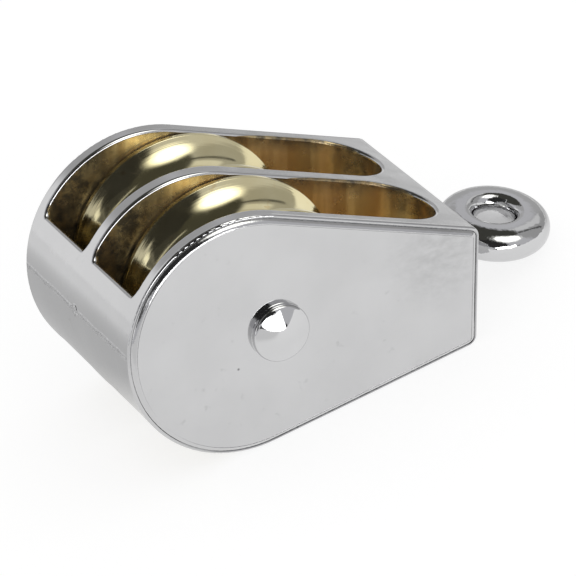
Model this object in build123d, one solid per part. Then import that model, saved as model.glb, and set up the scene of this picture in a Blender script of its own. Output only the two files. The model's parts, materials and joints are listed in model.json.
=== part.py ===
from build123d import *
import math
import os

# A die-cast double pulley block: one teardrop casting with two pockets, a grooved sheave in
# each pocket on one riveted axle, and a ring eye that swivels in the straight end.
# Lengths are millimetres, angles are degrees. The block is drawn level, with the axle's middle
# as its origin: X runs from the axle to the eye, Y along the axle, Z up. The last step tips
# everything onto the casting's lower tapered side, which is how the block lies on a bench.

# Casting, seen along the axle
round_end_radius = 17.0
round_end_setback = 4.5  # centre of the round end, behind the axle
eye_end_distance = 30.0  # axle to the straight end
eye_end_height = 17.0  # between the sharp corners of the straight end
face_corner_radius = 0.4  # corners inside the bevel at the straight end

# Casting, seen from above
web_thickness = 2.4  # wall between the two pockets
pocket_width = 13.25
side_wall = 2.1  # pocket to the rim of the outside face
crown_thickness = 3.0  # solid metal between the pockets' round ends and the straight end
pocket_start_angle = 30.5  # straight pocket end at the top, above the round end's middle
pocket_end_lean = 4.5  # draft of the straight pocket end: the pocket is shorter at the bottom
pocket_corner_radius = 0.9
pocket_mouth_round = 0.45

# Raised outside faces, each framed by a bevel between two fine grooves
rim_edge_round = 0.3
rim_border = 0.45  # outside of the casting to the bevel
rim_groove_width = 0.15
rim_groove_depth = 0.15
bevel_width = 0.65
face_rise = 0.5
face_groove_width = 0.1
face_groove_depth = 0.08

# Sheaves
sheave_cover = 0.06  # rim to the level of the tapered sides
groove_depth = 3.4
rim_land = 0.75  # flat width of each flange's rim
rim_round = 0.15
sheave_side_gap = 0.35  # flange to pocket wall
hub_diameter = 11.0
hub_side_gap = 0.1  # hub to pocket wall

# Axle, a rivet with a domed head at each end
axle_diameter = 5.0
axle_hole_gap = 0.02  # radial, in the casting
axle_running_gap = 0.06  # radial, in the sheaves
head_diameter = 8.3
head_base_height = 0.95
head_wall_height = 1.7
head_step = 0.08
head_dome_height = 1.7
head_round = 0.7

# Swivel eye
eye_wire = 5.4  # thickness of the ring
eye_hole = 3.9
eye_gap = 4.5  # straight end to the ring's outside
eye_swing = 8.5  # how far the ring is turned about the block's long axis
collar_diameter = 7.4  # the neck where it meets the straight end
neck_diameter = 9.0  # and at its widest, level with the ring's outside
neck_shoulder_round = 2.0
neck_blend_round = 1.2  # between the neck and the ring
collar_gap = 0.1  # collar to the straight end
shank_diameter = 4.0
shank_running_gap = 0.08
anchor_diameter = 6.0
anchor_thickness = 1.6
anchor_cover = 1.2  # metal between the anchor's cavity and the straight end
anchor_gap = 0.1

cut_past = 1.0  # how far a cutter runs out of the metal
snap = 0.001  # how near an edge lies to the plane it is looked for in

# Worked out from the sizes above
pocket_pitch = pocket_width + web_thickness  # between the two sheaves' middles
rim_half_width = web_thickness / 2 + pocket_width + side_wall
face_half_width = rim_half_width + face_rise
corner_radius = rim_border + bevel_width + face_corner_radius  # the same corners at the rim
pocket_end_radius = pocket_width / 2
pocket_end_x = eye_end_distance - crown_thickness
pocket_start_x = -round_end_setback - round_end_radius * math.cos(math.radians(pocket_start_angle))
pocket_start_z = round_end_radius * math.sin(math.radians(pocket_start_angle))
anchor_back_x = eye_end_distance - anchor_cover - anchor_thickness - 2 * anchor_gap
ring_radius = (eye_hole + eye_wire) / 2
ring_x = eye_end_distance + eye_gap + eye_wire / 2 + ring_radius


def side_angle():
    """Angle from X to the radius at which a tapered side leaves the round end."""
    reach = eye_end_distance + round_end_setback
    rise = eye_end_height / 2
    slope = math.atan2(rise, reach)
    return math.degrees(slope + math.acos(round_end_radius / math.hypot(reach, rise)))


def taper():
    """Angle between each tapered side and the block's long axis."""
    return 90 - side_angle()


def tangent_point(side):
    """Where the round end meets the upper (1) or lower (-1) tapered side."""
    angle = math.radians(side_angle())
    x = -round_end_setback + round_end_radius * math.cos(angle)
    return (x, side * round_end_radius * math.sin(angle))


def side_distance():
    """How far each tapered side lies from the axle's line."""
    return round_end_radius - round_end_setback * math.cos(math.radians(side_angle()))


def casting_outline():
    """Teardrop seen along the axle: round end, two tapered sides, straight eye end."""
    upper, lower = tangent_point(1), tangent_point(-1)
    tip = (-round_end_setback - round_end_radius, 0)
    upper_corner = (eye_end_distance, eye_end_height / 2)
    lower_corner = (eye_end_distance, -eye_end_height / 2)
    with BuildSketch(Plane.XZ) as outline:
        with BuildLine():
            Line(upper, upper_corner)
            Line(upper_corner, lower_corner)
            Line(lower_corner, lower)
            ThreePointArc(lower, tip, upper)
        make_face()
        fillet(outline.vertices().sort_by(Axis.X)[-2:], corner_radius)
    return outline.sketch


def border_groove(outline, inset, width, level, depth):
    """A fine groove in both faces, inset from the outline and cut to a depth below a level."""
    ring = offset(outline, -inset) - offset(outline, -inset - width)
    past_faces = extrude(ring, face_half_width + cut_past, both=True)
    return past_faces - extrude(ring, level - depth, both=True)


def raised_face_block():
    """The solid teardrop, with the bevel that lifts each outside face above its rim."""
    outline = casting_outline()
    block = extrude(outline, rim_half_width, both=True)
    rims = block.edges().filter_by(lambda e: abs(abs(e.center().Y) - rim_half_width) < snap)
    block = fillet(rims, rim_edge_round)
    plateau = extrude(offset(outline, -rim_border), face_half_width, both=True)
    for end in (0, -1):
        face = plateau.faces().sort_by(Axis.Y)[end]
        plateau = chamfer(face.edges(), length=bevel_width, length2=face_rise, reference=face)
    rim_groove = border_groove(outline, rim_border - rim_groove_width, rim_groove_width,
                               rim_half_width, rim_groove_depth)
    face_groove = border_groove(outline, rim_border + bevel_width, face_groove_width,
                                face_half_width, face_groove_depth)
    return block + plateau - rim_groove - face_groove


def pocket(side):
    """One sheave pocket, open at top and bottom: a leaning straight end, and a round one."""
    top = round_end_radius + cut_past
    lean = math.tan(math.radians(pocket_end_lean))
    top_x = pocket_start_x - (top - pocket_start_z) * lean
    bottom_x = top_x + 2 * top * lean
    round_x = pocket_end_x - pocket_end_radius
    with BuildSketch(Plane.XZ) as profile:
        with BuildLine():
            Polyline((top_x, top), (round_x, top), (round_x, -top), (bottom_x, -top), close=True)
        make_face()
    straight = extrude(profile.sketch, pocket_width / 2, both=True)
    end_corners = straight.edges().filter_by(Axis.Y, reverse=True).sort_by(Axis.X)
    end_corners = [e for e in end_corners if abs(e.center().X - (top_x + bottom_x) / 2) < snap]
    straight = fillet(end_corners, pocket_corner_radius)
    rounded = Pos(round_x, 0, 0) * Cylinder(pocket_end_radius, 2 * top)
    return Pos(0, side * pocket_pitch / 2, 0) * (straight + rounded)


def along_block(radius, start, end):
    """A cylinder on the block's long axis, from start to end."""
    return Pos((start + end) / 2, 0, 0) * Rot(Y=90) * Cylinder(radius, end - start)


def swivel_cavity():
    """The space cast round the eye's shank and its anchor."""
    shank_hole = shank_diameter / 2 + shank_running_gap
    anchor_hole = anchor_diameter / 2 + anchor_gap
    throat = along_block(shank_hole, anchor_back_x, eye_end_distance + cut_past)
    chamber = along_block(anchor_hole, anchor_back_x, eye_end_distance - anchor_cover)
    return throat + chamber


def is_at_mouth(edge):
    """Whether an edge left by a pocket is at its mouth, and not upright inside it."""
    upright = math.cos(math.radians(pocket_end_lean)) - snap
    return abs(edge.tangent_at(0.5).Z) < upright


def block_body():
    """The casting: crown, centre web, side walls and the wall round the end, in one piece."""
    block = raised_face_block()
    for side in (-1, 1):
        opened = block - pocket(side)
        mouth = new_edges(block, pocket(side), combined=opened).filter_by(is_at_mouth)
        block = fillet(mouth, pocket_mouth_round)
    hole_length = 2 * (face_half_width + cut_past)
    axle_hole = Rot(X=90) * Cylinder(axle_diameter / 2 + axle_hole_gap, hole_length)
    return block - axle_hole - swivel_cavity()


def sheave():
    """A grooved wheel with raised hub faces, turned about the axle's line."""
    rim = side_distance() - sheave_cover
    hub = hub_diameter / 2
    bore = axle_diameter / 2 + axle_running_gap
    flange_side = pocket_width / 2 - sheave_side_gap
    hub_side = pocket_width / 2 - hub_side_gap
    lip = flange_side - rim_land
    with BuildSketch(Plane.XY) as section:
        with BuildLine():
            Polyline((rim, -lip), (rim, -flange_side), (hub, -flange_side), (hub, -hub_side),
                     (bore, -hub_side), (bore, hub_side), (hub, hub_side), (hub, flange_side),
                     (rim, flange_side), (rim, lip))
            ThreePointArc((rim, lip), (rim - groove_depth, 0), (rim, -lip))
        make_face()
        fillet(section.vertices().group_by(Axis.X)[-1], rim_round)
    return revolve(section.sketch, Axis.Y)


def axle_rivet():
    """Plain shank through both sheaves, with a stepped and domed head on each outside face."""
    shank = axle_diameter / 2
    base = head_diameter / 2
    wall = base - head_step
    step_y = face_half_width + head_base_height
    wall_y = face_half_width + head_wall_height
    dome_y = wall_y + head_dome_height
    dome_radius = (wall**2 + head_dome_height**2) / (2 * head_dome_height)
    with BuildSketch(Plane.XY) as section:
        with BuildLine():
            Polyline((0, dome_y), (0, 0), (shank, 0), (shank, face_half_width),
                     (base, face_half_width), (base, step_y), (wall, step_y), (wall, wall_y))
            RadiusArc((0, dome_y), (wall, wall_y), dome_radius)
        make_face()
        fillet(section.vertices().sort_by_distance((wall, wall_y))[0], head_round)
    half = revolve(section.sketch, Axis.Y)
    return half + mirror(half, Plane.XZ)


def eye_neck():
    """The neck outside the casting: it widens to a rounded shoulder that ends in the ring."""
    start_x = eye_end_distance + collar_gap
    shoulder_x = eye_end_distance + eye_gap
    end_x = ring_x - ring_radius
    radius = neck_diameter / 2
    with BuildSketch(Plane.XY) as section:
        with BuildLine():
            Polyline((end_x, 0), (start_x, 0), (start_x, collar_diameter / 2), (shoulder_x, radius))
            RadiusArc((shoulder_x, radius), (end_x, 0), radius)
        make_face()
        shoulder = section.vertices().sort_by_distance((shoulder_x, radius))[0]
        fillet(shoulder, neck_shoulder_round)
    return revolve(section.sketch, Axis.X)


def swivel_eye():
    """Ring and neck outside the casting; shank and anchor held inside it."""
    ring = Pos(ring_x, 0, 0) * Torus(ring_radius, eye_wire / 2)
    neck = eye_neck()
    seam = new_edges(ring, neck, combined=ring + neck)
    outside = fillet(seam, neck_blend_round)
    anchor_start = anchor_back_x + anchor_gap
    shank = along_block(shank_diameter / 2, anchor_start, eye_end_distance + collar_gap)
    anchor = along_block(anchor_diameter / 2, anchor_start, anchor_start + anchor_thickness)
    return Rot(X=eye_swing) * (outside + shank + anchor)


def pieces():
    """Every separate piece, level and in its working place."""
    wheel = sheave()
    return {
        "block_body": block_body(),
        "sheave_front": Pos(0, -pocket_pitch / 2, 0) * wheel,
        "sheave_rear": Pos(0, pocket_pitch / 2, 0) * wheel,
        "axle_rivet": axle_rivet(),
        "swivel_eye": swivel_eye(),
    }


def laid_down(level):
    """The pieces tipped onto the lower tapered side, with the origin below their middle."""
    tipped = {name: Rot(Y=taper()) * piece for name, piece in level.items()}
    box = Compound(list(tipped.values())).bounding_box()
    middle = box.center()
    return {name: Pos(-middle.X, -middle.Y, -box.min.Z) * piece for name, piece in tipped.items()}


os.makedirs("parts", exist_ok=True)
for node, piece in laid_down(pieces()).items():
    export_step(piece, f"parts/{node}.step")
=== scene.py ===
import json
import math

import bpy
from mathutils import Matrix, Quaternion, Vector


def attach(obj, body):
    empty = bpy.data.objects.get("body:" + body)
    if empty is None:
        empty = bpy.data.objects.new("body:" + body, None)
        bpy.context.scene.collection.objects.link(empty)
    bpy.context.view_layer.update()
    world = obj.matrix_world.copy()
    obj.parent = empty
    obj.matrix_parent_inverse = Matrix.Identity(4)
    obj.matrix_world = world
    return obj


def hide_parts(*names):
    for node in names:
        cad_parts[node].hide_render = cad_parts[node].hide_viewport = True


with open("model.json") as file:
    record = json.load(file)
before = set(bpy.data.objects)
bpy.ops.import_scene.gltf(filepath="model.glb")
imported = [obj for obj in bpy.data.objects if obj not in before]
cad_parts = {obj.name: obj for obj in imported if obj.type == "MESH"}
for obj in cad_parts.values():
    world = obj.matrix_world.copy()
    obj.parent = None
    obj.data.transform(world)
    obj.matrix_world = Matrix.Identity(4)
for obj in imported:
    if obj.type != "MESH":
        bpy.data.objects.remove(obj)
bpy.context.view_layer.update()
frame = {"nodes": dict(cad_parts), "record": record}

MM = 0.001
NODES = frame["nodes"]
JOINTS = {joint["name"]: joint for joint in frame["record"]["behaviour"]["joints"]}

# The block's own level frame: X along the block from the axle to the eye, Y along the axle.
AXLE = Vector(JOINTS["sheave_front_spin"]["pos_m"]) * Vector((1, 0, 1))
BLOCK_X = Vector(JOINTS["eye_swivel"]["axis"])
BLOCK_Y = Vector((0, 1, 0))
BLOCK_Z = BLOCK_X.cross(BLOCK_Y)

# Sizes of the casting that its surface marks follow
POCKET_PITCH = 15.65 * MM
POCKET_HALF_WIDTH = 6.625 * MM
POCKET_START = -19.148 * MM  # at the top; the straight end leans in below it
POCKET_START_Z = 8.63 * MM
POCKET_LEAN = math.tan(math.radians(4.5))
POCKET_END = 27.0 * MM
RIM_Y = 16.55 * MM
FACE_Y = 17.05 * MM
SHEAVE_LAND = 5.525 * MM  # middle of the sheave to the inner edge of each flange's rim
PARTING_LINE_X = -15.0 * MM  # the parting line shows on the round end, behind here
PARTING_LINE_HALF_WIDTH = 0.55 * MM
BLISTER_Y = 0.3 * MM
BLISTER_RADIUS = 0.5 * MM
SPECK = (-5.86 * MM, -FACE_Y, -4.43 * MM)
SPECK_RADIUS = 0.28 * MM
# Streaky tarnish with painted shade, darkening the front face's upper corner by the eye
TARNISH_AND_SHADE = (24 * MM, -FACE_Y, 6.5 * MM)
TARNISH_AND_SHADE_RADIUS = 11 * MM

# Colours of the metals
CASTING_PLATE = (0.595, 0.595, 0.60)
BRIGHT_PLATE = (0.62, 0.62, 0.625)
UNDERCOAT_DARK = (0.66, 0.45, 0.19, 1.0)
UNDERCOAT_LIGHT = (1.0, 0.78, 0.40, 1.0)
# Painted shade for the pockets
POCKET_PAINTED_SHADE = (0.11, 0.09, 0.06, 1.0)
BRASS_DARK = (0.74, 0.66, 0.40, 1.0)
BRASS_LIGHT = (0.80, 0.73, 0.47, 1.0)
BRASS_STAIN = (0.62, 0.40, 0.14, 1.0)


# Node helpers

def new_material(name):
    """An empty node material, with the tree and shader to build on."""
    material = bpy.data.materials.new(name)
    material.use_nodes = True
    tree = material.node_tree
    return material, tree, tree.nodes["Principled BSDF"]


def node(tree, kind, inputs=None, **settings):
    """Adds a node, sets its properties, and fills or links its inputs."""
    made = tree.nodes.new(kind)
    for key, value in settings.items():
        setattr(made, key, value)
    for key, value in (inputs or {}).items():
        if isinstance(value, bpy.types.NodeSocket):
            tree.links.new(value, made.inputs[key])
        else:
            made.inputs[key].default_value = value
    return made


def maths(tree, operation, a, b=0.0):
    """One operation on two numbers, which may be sockets."""
    return node(tree, "ShaderNodeMath", {0: a, 1: b}, operation=operation).outputs[0]


def product(tree, *factors):
    result = factors[0]
    for factor in factors[1:]:
        result = maths(tree, "MULTIPLY", result, factor)
    return result


def remap(tree, value, low, high, to_low=0.0, to_high=1.0, smooth=False):
    """Takes low to to_low and high to to_high, and stays at those beyond them."""
    kind = "SMOOTHSTEP" if smooth else "LINEAR"
    return node(tree, "ShaderNodeMapRange",
                {"Value": value, "From Min": low, "From Max": high,
                 "To Min": to_low, "To Max": to_high}, interpolation_type=kind).outputs["Result"]


def mix_colour(tree, factor, a, b):
    mixed = node(tree, "ShaderNodeMix", data_type="RGBA")
    for socket, value in ((mixed.inputs[0], factor), (mixed.inputs[6], a), (mixed.inputs[7], b)):
        if isinstance(value, bpy.types.NodeSocket):
            tree.links.new(value, socket)
        else:
            socket.default_value = value
    return mixed.outputs[2]


def object_coordinates(tree):
    return node(tree, "ShaderNodeTexCoord").outputs["Object"]


def block_coordinates(tree):
    """X, Y and Z of the surface in the block's level frame, measured from the axle's middle."""
    offset = node(tree, "ShaderNodeVectorMath", {0: object_coordinates(tree), 1: AXLE},
                  operation="SUBTRACT").outputs[0]
    return [node(tree, "ShaderNodeVectorMath", {0: offset, 1: axis},
                 operation="DOT_PRODUCT").outputs["Value"]
            for axis in (BLOCK_X, BLOCK_Y, BLOCK_Z)]


def combine(tree, x, y, z=0.0):
    return node(tree, "ShaderNodeCombineXYZ", {0: x, 1: y, 2: z}).outputs[0]


def length(tree, x, y, z=0.0):
    return node(tree, "ShaderNodeVectorMath", {0: combine(tree, x, y, z)},
                operation="LENGTH").outputs["Value"]


def noise(tree, where, size, detail=3.0, roughness=0.5):
    """Noise from 0 to 1 whose features are about size metres across."""
    return node(tree, "ShaderNodeTexNoise",
                {"Vector": where, "Scale": 1.0 / size, "Detail": detail,
                 "Roughness": roughness}).outputs["Fac"]


def bump(tree, height, distance, onto=None):
    """Raises the surface by up to distance metres where height is 1."""
    inputs = {"Height": height, "Distance": distance}
    if onto is not None:
        inputs["Normal"] = onto
    return node(tree, "ShaderNodeBump", inputs).outputs["Normal"]


def spot(tree, place, centre, radius):
    """1 at a point of the block, 0 beyond a radius from it."""
    x, y, z = (maths(tree, "SUBTRACT", value, at) for value, at in zip(place, centre))
    return remap(tree, length(tree, x, y, z), 0.0, radius, 1.0, 0.0, smooth=True)


def grey(value, blue=0.0):
    return (value, value, value + blue, 1.0)


# Materials

def nickel_plate(tree, where, tint, roughness):
    """Colour of plate with faint clouding, and its roughness with wipe marks in the polish."""
    cloud = remap(tree, noise(tree, where, 9 * MM, 4.0), 0.35, 0.65)
    dark, light = (tuple(part * share for part in tint) + (1.0,) for share in (0.97, 1.02))
    smear = noise(tree, where, 3 * MM, 5.0, 0.6)
    polish = remap(tree, smear, 0.3, 0.7, roughness * 0.6, roughness * 1.5)
    return mix_colour(tree, cloud, dark, light), polish


def pocket_walls(tree, place):
    """A mask that is 1 on the walls of the two pockets and ends at their rounded mouths, and how
    far each point lies from the middle of its pocket."""
    x, y, z = place
    across = maths(tree, "SUBTRACT", maths(tree, "ABSOLUTE", y), POCKET_PITCH / 2)
    past_round = maths(tree, "SUBTRACT", x, POCKET_END - POCKET_HALF_WIDTH)
    reach = length(tree, across, maths(tree, "MAXIMUM", past_round, 0.0))
    # Towards the eye, the undercoat and its painted shade also cover the rear lip of each mouth
    behind = product(tree, across, maths(tree, "SIGN", y))
    lip = product(tree, remap(tree, behind, 3 * MM, 5 * MM), remap(tree, x, 9 * MM, 14 * MM))
    past_wall = maths(tree, "SUBTRACT", reach, product(tree, lip, 0.25 * MM))
    inside = remap(tree, past_wall, POCKET_HALF_WIDTH, POCKET_HALF_WIDTH + 0.01 * MM, 1.0, 0.0)
    lean = product(tree, maths(tree, "SUBTRACT", POCKET_START_Z, z), POCKET_LEAN)
    past_start = maths(tree, "SUBTRACT", x, maths(tree, "ADD", lean, POCKET_START))
    return product(tree, inside, remap(tree, past_start, -0.06 * MM, 0.0)), reach


def undercoat(tree, place, where):
    """The brassy layer that shows in the pockets, in bands down the walls, with painted shade in
    places.
    """
    x, y, z = place
    bands = noise(tree, combine(tree, x, y, product(tree, z, 0.08)), 2.2 * MM, 2.0)
    layer = mix_colour(tree, remap(tree, bands, 0.42, 0.6), UNDERCOAT_DARK, UNDERCOAT_LIGHT)
    # Painted shade: the undercoat is painted dark and mottled beside the sheaves, at the far ends
    # and at the mouths
    beside_sheaves = remap(tree, x, -4 * MM, -13 * MM)
    far_end = remap(tree, x, 21 * MM, 25 * MM, 0.0, 0.7)
    # The upper tapered side, with the mouths, lies as far from the axle as the floor does
    level = maths(tree, "SUBTRACT", product(tree, z, BLOCK_X.x), product(tree, x, BLOCK_X.z))
    near_mouth = remap(tree, level, AXLE.z - 2.4 * MM, AXLE.z - 0.3 * MM)
    painted_shade = maths(tree, "MAXIMUM", maths(tree, "MAXIMUM", beside_sheaves, far_end), near_mouth)
    blotch = remap(tree, noise(tree, where, 1.8 * MM, 4.0, 0.65), 0.4, 0.6, 0.55, 1.0)
    return mix_colour(tree, product(tree, painted_shade, blotch), layer, POCKET_PAINTED_SHADE)


def with_marks(tree, colour, place, where):
    """Adds a speck, streaky tarnish with painted shade in the front face's upper corner by the
    eye, and small dull flecks.
    """
    x, y, z = place
    speck = spot(tree, place, SPECK, SPECK_RADIUS)
    colour = mix_colour(tree, product(tree, speck, 0.8), colour, grey(0.08))
    streaks = noise(tree, combine(tree, product(tree, x, 0.6), y, z), 1.3 * MM, 4.0, 0.65)
    # Painted shade with tarnish streaks in the front face's upper corner
    tarnish_and_shade = product(tree, spot(tree, place, TARNISH_AND_SHADE, TARNISH_AND_SHADE_RADIUS),
                      remap(tree, streaks, 0.35, 0.65, 0.2, 1.0))
    flecks = remap(tree, noise(tree, where, 1.5 * MM, 3.0, 0.6), 0.66, 0.76, 0.0, 0.35)
    worn_and_shaded = maths(tree, "MAXIMUM", product(tree, tarnish_and_shade, 0.4), product(tree, flecks, 0.6))
    return mix_colour(tree, worn_and_shaded, colour, grey(0.33))


def parting_line(tree, place, where):
    """The ragged seam that the die left round the middle of the round end, with one blister."""
    x, y, z = place
    wander = remap(tree, noise(tree, where, 5 * MM), 0.3, 0.7, -0.15 * MM, 0.15 * MM)
    height = maths(tree, "ABSOLUTE", maths(tree, "SUBTRACT", z, wander))
    line = remap(tree, height, 0.0, PARTING_LINE_HALF_WIDTH, 1.0, 0.0, smooth=True)
    ragged = remap(tree, noise(tree, where, 0.45 * MM, 4.0, 0.75), 0.38, 0.62)
    between_faces = maths(tree, "LESS_THAN", maths(tree, "ABSOLUTE", y), RIM_Y - 0.3 * MM)
    on_round_end = product(tree, maths(tree, "LESS_THAN", x, PARTING_LINE_X), between_faces)
    from_blister = length(tree, maths(tree, "SUBTRACT", y, BLISTER_Y), z)
    crater = product(tree, remap(tree, from_blister, 0.0, BLISTER_RADIUS, smooth=True),
                     remap(tree, from_blister, BLISTER_RADIUS, BLISTER_RADIUS + 0.45 * MM,
                           1.0, 0.0, smooth=True))
    ridge = maths(tree, "ADD", product(tree, line, ragged), product(tree, crater, 2.6))
    return product(tree, ridge, on_round_end)


def bevels(tree, place, where, onto):
    """Makes the bevel round each raised face uneven, and bulge a little between its two edges."""
    side = maths(tree, "ABSOLUTE", place[1])
    at_rim = product(tree, remap(tree, side, RIM_Y - 0.5 * MM, RIM_Y - 0.2 * MM),
                     remap(tree, side, FACE_Y - 0.04 * MM, FACE_Y - 0.01 * MM, 1.0, 0.0))
    rough = product(tree, at_rim, noise(tree, where, 1.1 * MM, 3.0, 0.6))
    up_bevel = remap(tree, side, RIM_Y, FACE_Y)
    # A factor of 4 brings the middle of the bulge to 1. Near the floor it fades to a tenth
    above_floor = node(tree, "ShaderNodeSeparateXYZ", {0: where}).outputs["Z"]
    bulge = product(tree, up_bevel, maths(tree, "SUBTRACT", 1.0, up_bevel),
                    remap(tree, above_floor, 3 * MM, 9 * MM, 0.4, 4.0))
    return bump(tree, bulge, 0.08 * MM, onto=bump(tree, rough, 0.03 * MM, onto=onto))


def flow_marks(tree, place, where, reach):
    """Sparse streaks that run down from the pockets on the round end."""
    x, y, z = place
    beside_pocket = remap(tree, reach, POCKET_HALF_WIDTH, POCKET_HALF_WIDTH + 1.6 * MM, 1.0, 0.0)
    on_round_end = remap(tree, x, -15 * MM, -19 * MM)
    stretched = combine(tree, product(tree, x, 0.5), y, product(tree, z, 0.2))
    sparse = remap(tree, noise(tree, where, 3 * MM, 2.0), 0.5, 0.62)
    return product(tree, beside_pocket, on_round_end, sparse,
                   remap(tree, noise(tree, stretched, 0.7 * MM, 3.0), 0.5, 0.75))


def casting():
    """Nickel-plated die casting: wavy, with the plate thin in the pockets, where shade is painted
    in places.
    """
    material, tree, shader = new_material("plated_casting")
    where = object_coordinates(tree)
    place = block_coordinates(tree)
    plate, polish = nickel_plate(tree, where, CASTING_PLATE, 0.09)
    wall, reach = pocket_walls(tree, place)
    colour = mix_colour(tree, product(tree, wall, 0.96), plate, undercoat(tree, place, where))
    tree.links.new(with_marks(tree, colour, place, where), shader.inputs["Base Color"])
    tree.links.new(remap(tree, wall, 0.0, 1.0, 1.0, 0.8), shader.inputs["Metallic"])
    dull = remap(tree, wall, 0.0, 1.0, 0.0, 0.16)
    tree.links.new(maths(tree, "ADD", polish, dull), shader.inputs["Roughness"])

    surface = bump(tree, noise(tree, where, 7 * MM, 1.5), 0.02 * MM)
    surface = bevels(tree, place, where, onto=surface)
    surface = bump(tree, flow_marks(tree, place, where, reach), 0.012 * MM, onto=surface)
    surface = bump(tree, parting_line(tree, place, where), 0.14 * MM, onto=surface)
    surface = bump(tree, noise(tree, where, 0.35 * MM, 2.0), 0.0006 * MM, onto=surface)
    tree.links.new(surface, shader.inputs["Normal"])
    return material


def bright_nickel(name, wave_height, dent_height=0.0):
    """Smoother nickel plate over steel, for the rivet and the eye."""
    material, tree, shader = new_material(name)
    where = object_coordinates(tree)
    colour, polish = nickel_plate(tree, where, BRIGHT_PLATE, 0.05)
    tree.links.new(colour, shader.inputs["Base Color"])
    tree.links.new(polish, shader.inputs["Roughness"])
    shader.inputs["Metallic"].default_value = 1.0
    surface = bump(tree, noise(tree, where, 3 * MM, 1.5), wave_height)
    surface = bump(tree, noise(tree, where, 1.1 * MM, 3.0, 0.6), dent_height, onto=surface)
    surface = bump(tree, noise(tree, where, 0.5 * MM, 3.0), 0.0008 * MM, onto=surface)
    tree.links.new(surface, shader.inputs["Normal"])
    return material


def brass():
    """Pale polished brass with turning lines round the axle and a few darker stains."""
    material, tree, shader = new_material("sheave_brass")
    where = object_coordinates(tree)
    x, y, z = block_coordinates(tree)
    turned = combine(tree, length(tree, x, z), y)
    cloud = remap(tree, noise(tree, where, 6 * MM, 4.0), 0.35, 0.65)
    colour = mix_colour(tree, cloud, BRASS_DARK, BRASS_LIGHT)
    stain = remap(tree, noise(tree, where, 1.6 * MM, 2.0), 0.68, 0.78)
    colour = mix_colour(tree, product(tree, stain, 0.5), colour, BRASS_STAIN)
    tree.links.new(colour, shader.inputs["Base Color"])
    shader.inputs["Metallic"].default_value = 1.0
    smear = noise(tree, where, 2 * MM, 5.0, 0.6)
    tree.links.new(remap(tree, smear, 0.3, 0.7, 0.07, 0.16), shader.inputs["Roughness"])

    surface = bump(tree, noise(tree, where, 4 * MM, 1.5), 0.02 * MM)
    from_middle = maths(tree, "SUBTRACT", maths(tree, "ABSOLUTE", y), POCKET_PITCH / 2)
    on_land = remap(tree, maths(tree, "ABSOLUTE", from_middle),
                    SHEAVE_LAND - 1.6 * MM, SHEAVE_LAND + 0.2 * MM)
    ridges = product(tree, on_land, noise(tree, turned, 0.4 * MM, 2.0))
    surface = bump(tree, ridges, 0.03 * MM, onto=surface)
    lines = noise(tree, turned, 0.25 * MM, 3.0, 0.6)
    tree.links.new(bump(tree, lines, 0.0012 * MM, onto=surface), shader.inputs["Normal"])
    return material


def dress(finish, *names):
    """Gives CAD nodes a material."""
    for name in names:
        NODES[name].data.materials.clear()
        NODES[name].data.materials.append(finish)


dress(casting(), "block_body")
dress(brass(), "sheave_front", "sheave_rear")


# Rivet

SHANK_RADIUS = 2.5 * MM
HEAD_RADIUS = 4.08 * MM
HEAD_STEP = 0.05 * MM  # between the foot of the head and the rest of its wall
HEAD_FOOT = 0.4 * MM
HEAD_HEIGHT = 2.5 * MM
DOME_TOP_RADIUS = 3.6 * MM  # how round the very top is
DOME_SLOPE = 0.52  # slope that the dome straightens towards at its edge
DOME_BEND = DOME_TOP_RADIUS * DOME_SLOPE ** 2
DOME_EDGE = 0.6 * MM  # radius of the rounded edge between the wall and the dome
DOME_EDGE_WIDTH = 0.36 * MM  # about how much of the head's radius that edge takes
ROUND_SEGMENTS = 128
ARC_STEPS = 12
DOME_STEPS = 24
SHARP_ANGLE = math.radians(35)  # edges sharper than this aren't shaded smooth


def arc(centre, radius, start, end):
    """Points of an arc as (distance from the axle, height), angles measured from the axle."""
    angles = [math.radians(start + (end - start) * k / ARC_STEPS) for k in range(ARC_STEPS + 1)]
    return [(centre[0] + radius * math.sin(a), centre[1] + radius * math.cos(a)) for a in angles]


def dome_height(distance):
    """Height above the face of a dome that is round on top and straighter towards its edge."""
    return HEAD_HEIGHT + DOME_BEND - math.hypot(DOME_BEND, DOME_SLOPE * distance)


def dome_slope(distance):
    """How steeply the dome falls at a distance from the axle."""
    return DOME_SLOPE ** 2 * distance / math.hypot(DOME_BEND, DOME_SLOPE * distance)


def head_profile():
    """Half of the rivet from its middle to the top of a head: (distance from the axle, height)."""
    tilt = math.atan(dome_slope(HEAD_RADIUS - DOME_EDGE_WIDTH))
    edge_x = HEAD_RADIUS - DOME_EDGE
    meets_at = edge_x + DOME_EDGE * math.sin(tilt)
    edge_y = FACE_Y + dome_height(meets_at) - DOME_EDGE * math.cos(tilt)
    foot = HEAD_RADIUS + HEAD_STEP
    wall = [(SHANK_RADIUS, 0.0), (SHANK_RADIUS, FACE_Y), (foot, FACE_Y),
            (foot, FACE_Y + HEAD_FOOT - HEAD_STEP), (HEAD_RADIUS, FACE_Y + HEAD_FOOT)]
    edge = arc((edge_x, edge_y), DOME_EDGE, 90, math.degrees(tilt))
    across = [meets_at * (1 - k / DOME_STEPS) for k in range(1, DOME_STEPS + 1)]
    return wall + edge + [(distance, FACE_Y + dome_height(distance)) for distance in across]


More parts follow.
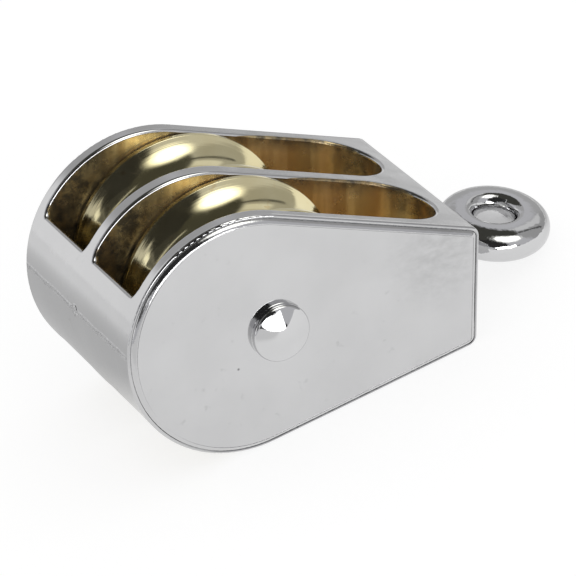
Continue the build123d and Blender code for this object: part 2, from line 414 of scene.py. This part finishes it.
def turned_piece(name, profile, centre, axis, closed=False):
    """A solid turned about an axis through a centre, from points (distance from it, height).
    An open profile's first and last points are on the axis; a closed one is a ring's section."""
    side = axis.orthogonal().normalized()
    other_side = axis.cross(side)
    rings = profile if closed else profile[1:-1]
    points = []
    for distance, height in rings:
        for k in range(ROUND_SEGMENTS):
            a = 2 * math.pi * k / ROUND_SEGMENTS
            outwards = side * math.cos(a) + other_side * math.sin(a)
            points.append(centre + axis * height + outwards * distance)

    def at(ring, k):
        return ring % len(rings) * ROUND_SEGMENTS + k % ROUND_SEGMENTS

    bands = len(rings) if closed else len(rings) - 1
    faces = [(at(ring, k), at(ring, k + 1), at(ring + 1, k + 1), at(ring + 1, k))
             for k in range(ROUND_SEGMENTS) for ring in range(bands)]
    if not closed:
        for pole, ring in ((profile[0], 0), (profile[-1], len(rings) - 1)):
            points.append(centre + axis * pole[1])
            for k in range(ROUND_SEGMENTS):
                corners = (len(points) - 1, at(ring, k + 1), at(ring, k))
                faces.append(corners if ring == 0 else corners[::-1])
    mesh = bpy.data.meshes.new(name)
    mesh.from_pydata(points, [], faces)
    smooth(mesh)
    piece = bpy.data.objects.new(name, mesh)
    bpy.context.scene.collection.objects.link(piece)
    return piece


def smooth(mesh):
    mesh.shade_smooth()
    mesh.set_sharp_from_angle(angle=SHARP_ANGLE)


def joined(piece, other):
    """One closed piece from two that run into each other."""
    union = piece.modifiers.new("union", "BOOLEAN")
    union.operation = "UNION"
    union.solver = "EXACT"
    union.object = other
    shape = piece.evaluated_get(bpy.context.evaluated_depsgraph_get())
    mesh = bpy.data.meshes.new_from_object(shape)
    piece.modifiers.clear()
    piece.data = mesh
    smooth(mesh)
    bpy.data.objects.remove(other)
    return piece


def rivet():
    """The axle rivet, with low domed heads whose edges are well rounded."""
    half = head_profile()
    other = [(distance, -height) for distance, height in reversed(half[1:])]
    piece = turned_piece("rivet", other + half[1:], AXLE, BLOCK_Y)
    piece.data.materials.append(bright_nickel("plated_rivet", 0.006 * MM))
    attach(piece, "block")
    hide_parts("axle_rivet")


# Eye

EYE_SWING = math.radians(8.5)  # how far the eye is turned about the block's long axis
EYE_END = 30.0 * MM  # the casting's straight end, from the axle
RING_CENTRE = 41.35 * MM  # from the axle
RING_HOLE = 2.7 * MM  # this and the next two are distances from the ring's own axis
RING_CREST = 4.35 * MM
RING_OUTSIDE = 7.84 * MM
RING_HALF_THICKNESS = 2.5 * MM
RING_FULLNESS = 2.25  # an ellipse's is 2; a fuller section has steeper flanks
RING_SECTION_STEPS = 72
NECK_RADIUS = 3.7 * MM
NECK_START = EYE_END + 0.1 * MM
NECK_SHOULDER = EYE_END + 3.3 * MM  # where its ball end starts
EYE_SHANK_RADIUS = 2.0 * MM
ANCHOR_START = 27.1 * MM
ANCHOR_END = 28.7 * MM
ANCHOR_RADIUS = 3.0 * MM


def ring_section():
    """The ring's section: broad outside its crest, steep towards the hole."""
    section = []
    for k in range(RING_SECTION_STEPS):
        a = 2 * math.pi * k / RING_SECTION_STEPS
        across, up = (math.copysign(abs(part) ** (2 / RING_FULLNESS), part)
                      for part in (math.cos(a), math.sin(a)))
        width = RING_OUTSIDE - RING_CREST if across > 0 else RING_CREST - RING_HOLE
        section.append((RING_CREST + width * across, RING_HALF_THICKNESS * up))
    return section


def neck_profile():
    """Anchor, shank and neck: (distance from the block's long axis, distance from the axle)."""
    ball = arc((0.0, NECK_SHOULDER), NECK_RADIUS, 90, 0)
    return [(0.0, ANCHOR_START), (ANCHOR_RADIUS, ANCHOR_START), (ANCHOR_RADIUS, ANCHOR_END),
            (EYE_SHANK_RADIUS, ANCHOR_END), (EYE_SHANK_RADIUS, NECK_START),
            (NECK_RADIUS, NECK_START)] + ball


def eye():
    """The swivel eye: a ring on a straight neck with a ball end, and its anchor in the casting."""
    ring_axis = Matrix.Rotation(EYE_SWING, 3, BLOCK_X) @ BLOCK_Z
    centre = AXLE + BLOCK_X * RING_CENTRE
    ring = turned_piece("eye", ring_section(), centre, ring_axis, closed=True)
    piece = joined(ring, turned_piece("neck", neck_profile(), AXLE, BLOCK_X))
    piece.data.materials.clear()
    piece.data.materials.append(bright_nickel("plated_eye", 0.05 * MM, 0.04 * MM))
    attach(piece, "eye")
    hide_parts("swivel_eye")


rivet()
eye()


# Studio

def direction(azimuth, elevation):
    """Unit vector: azimuth 0 looks along +Y, 90 along +X; elevation is above the floor."""
    a, e = math.radians(azimuth), math.radians(elevation)
    return Vector((math.sin(a) * math.cos(e), math.cos(a) * math.cos(e), math.sin(e)))


# What the metal mirrors, painted in this order: middle azimuth, half width, lowest and highest
# elevation, width of the soft edge, radiance. All angles are in degrees
WALLS = grey(0.62, 0.02)
PANELS = (
    # Behind the object and to its right
    (35, 26, -20, 24, 8, grey(0.5)),
    (-36, 22, -20, 28, 12, grey(1.0)),
    (0, 30, 28, 60, 8, grey(0.48)),
    (88, 32, -20, 45, 12, grey(0.42)),
    (66, 9, 18, 52, 5, grey(0.75)),
    (85, 3, 8, 56, 3, grey(0.10)),
    # Ceiling
    (0, 190, 46, 100, 8, (0.06, 0.06, 0.052, 1.0)),
    # To its left
    (-120, 20, 12, 31, 4, grey(0.12)),
    (-88, 12, 4, 24, 4, grey(1.2)),
    (-115, 24, 31, 64, 5, grey(0.05)),
    (-133, 6, 19, 27, 2, grey(1.1)),
    (-103, 2.5, 33, 74, 2, grey(0.7)),
    # Above the front box, and at its two ends
    (-164, 32, 27, 66, 3, grey(0.03)),
    (-172, 22, 15, 30, 2, grey(0.03)),
    (-159, 3, -2, 6, 1.5, grey(0.03)),
    (154, 3, -2, 4, 1.5, grey(0.05)),
)
# A round lamp: azimuth, elevation, inner and outer angle of its glow, radiance
LAMP_GLOW = (138, 52, 4, 27, (3.0, 3.0, 2.85, 1.0))

FLOOR_REACH = 3.0
FLOOR_GLOW = 0.76  # its own light brings the lit floor up to white

CAMERA_PLACE = (-0.176365, -0.49813, 0.329737)
CAMERA_TURN = (57.84455, 13.0671, -27.12658)  # degrees about X, Y and Z
CAMERA_LENS = 285.015
CAMERA_SENSOR = 36.0


def mirrored(tree):
    """Masks of the rays off metal or through glass, and of those and the camera's own."""
    path = node(tree, "ShaderNodeLightPath").outputs
    glossy = maths(tree, "MAXIMUM", path["Is Glossy Ray"], path["Is Transmission Ray"])
    return glossy, maths(tree, "MAXIMUM", glossy, path["Is Camera Ray"])


def studio_world():
    """A studio room as the metal mirrors it. The camera sees white, and a dimmer white lights
    matt surfaces."""
    world = bpy.data.worlds.new("studio")
    bpy.context.scene.world = world
    world.use_nodes = True
    tree = world.node_tree
    looked_at = node(tree, "ShaderNodeTexCoord").outputs["Generated"]

    def towards(vector):
        return node(tree, "ShaderNodeVectorMath", {0: looked_at, 1: vector},
                    operation="DOT_PRODUCT").outputs["Value"]

    height = node(tree, "ShaderNodeSeparateXYZ", {0: looked_at}).outputs["Z"]
    elevation = maths(tree, "ARCSINE", height)

    def edge(value, at, softness):
        """1 where an angle is below a limit in degrees, with a soft edge."""
        return remap(tree, value, math.radians(at - softness / 2), math.radians(at + softness / 2),
                     1.0, 0.0, smooth=True)

    def panel(colour, middle, half_width, lowest, highest, softness, radiance):
        turned = maths(tree, "ARCTAN2", towards(direction(middle + 90, 0)),
                       towards(direction(middle, 0)))
        mask = product(tree, edge(maths(tree, "ABSOLUTE", turned), half_width, softness),
                       edge(elevation, highest, softness),
                       maths(tree, "SUBTRACT", 1.0, edge(elevation, lowest, softness)))
        return mix_colour(tree, mask, colour, radiance)

    room = WALLS
    for values in PANELS:
        room = panel(room, *values)
    middle, up, inner, outer, radiance = LAMP_GLOW
    glow = remap(tree, towards(direction(middle, up)), math.cos(math.radians(outer)),
                 math.cos(math.radians(inner)), smooth=True)
    room = mix_colour(tree, product(tree, glow, glow), room, radiance)

    glossy, seen = mirrored(tree)
    background = tree.nodes["Background"]
    tree.links.new(mix_colour(tree, glossy, grey(1.0), room), background.inputs["Color"])
    tree.links.new(remap(tree, seen, 0.0, 1.0, 0.7, 1.0), background.inputs["Strength"])


def floor():
    """A white floor that keeps the object's soft shadow."""
    mesh = bpy.data.meshes.new("floor")
    signs = ((-1, -1), (1, -1), (1, 1), (-1, 1))
    corners = [(x * FLOOR_REACH, y * FLOOR_REACH, 0) for x, y in signs]
    mesh.from_pydata(corners, [], [(0, 1, 2, 3)])
    plane = bpy.data.objects.new("floor", mesh)
    bpy.context.scene.collection.objects.link(plane)
    material, tree, shader = new_material("floor")
    shader.inputs["Base Color"].default_value = grey(0.35)
    shader.inputs["Roughness"].default_value = 0.9
    shader.inputs["Specular IOR Level"].default_value = 0.0
    shader.inputs["Emission Color"].default_value = grey(1.0)
    glossy, seen = mirrored(tree)
    # Metal mirrors the floor darker close behind the object, and towards the front left
    place = node(tree, "ShaderNodeSeparateXYZ", {0: object_coordinates(tree)})
    across, behind = place.outputs["X"], place.outputs["Y"]
    near = remap(tree, length(tree, across, behind), 60 * MM, 260 * MM, 1.0, 0.25, smooth=True)
    shade = product(tree, near, remap(tree, behind, -10 * MM, 20 * MM, 0.0, 0.40, smooth=True))
    left = product(tree, remap(tree, across, -110 * MM, 30 * MM, 0.11, -0.04, smooth=True),
                   remap(tree, behind, -30 * MM, 0.0, 1.0, 0.0))
    corner = product(tree, remap(tree, across, -40 * MM, -20 * MM, 0.2, 0.0, smooth=True),
                     remap(tree, behind, -70 * MM, -36 * MM, 1.0, 0.0, smooth=True))
    dimmed = maths(tree, "ADD", shade, maths(tree, "MAXIMUM", left, corner))
    kept = maths(tree, "SUBTRACT", FLOOR_GLOW, product(tree, dimmed, glossy))
    tree.links.new(product(tree, seen, kept), shader.inputs["Emission Strength"])
    mesh.materials.append(material)


def soft_box(name, azimuth, elevation, distance, roll, size, radiance):
    """A studio soft box that faces the object. Its power gives it that radiance."""
    lamp = bpy.data.lights.new(name, "AREA")
    lamp.shape = "RECTANGLE"
    lamp.size, lamp.size_y = size
    lamp.energy = radiance * math.pi * size[0] * size[1]
    made = bpy.data.objects.new(name, lamp)
    made.location = direction(azimuth, elevation) * distance
    facing = (-direction(azimuth, elevation)).to_track_quat("-Z", "Y")
    made.rotation_euler = (facing @ Quaternion((0, 0, 1), math.radians(roll))).to_euler()
    bpy.context.scene.collection.objects.link(made)


def camera():
    data = bpy.data.cameras.new("camera")
    data.sensor_width = CAMERA_SENSOR
    data.lens = CAMERA_LENS
    made = bpy.data.objects.new("camera", data)
    made.location = CAMERA_PLACE
    made.rotation_euler = [math.radians(angle) for angle in CAMERA_TURN]
    bpy.context.scene.collection.objects.link(made)
    bpy.context.scene.camera = made


studio_world()
floor()
soft_box("front_box", azimuth=178, elevation=7, distance=1.2, roll=4, size=(0.87, 0.38),
         radiance=3.4)
camera()

bpy.context.scene.view_settings.view_transform = "Standard"
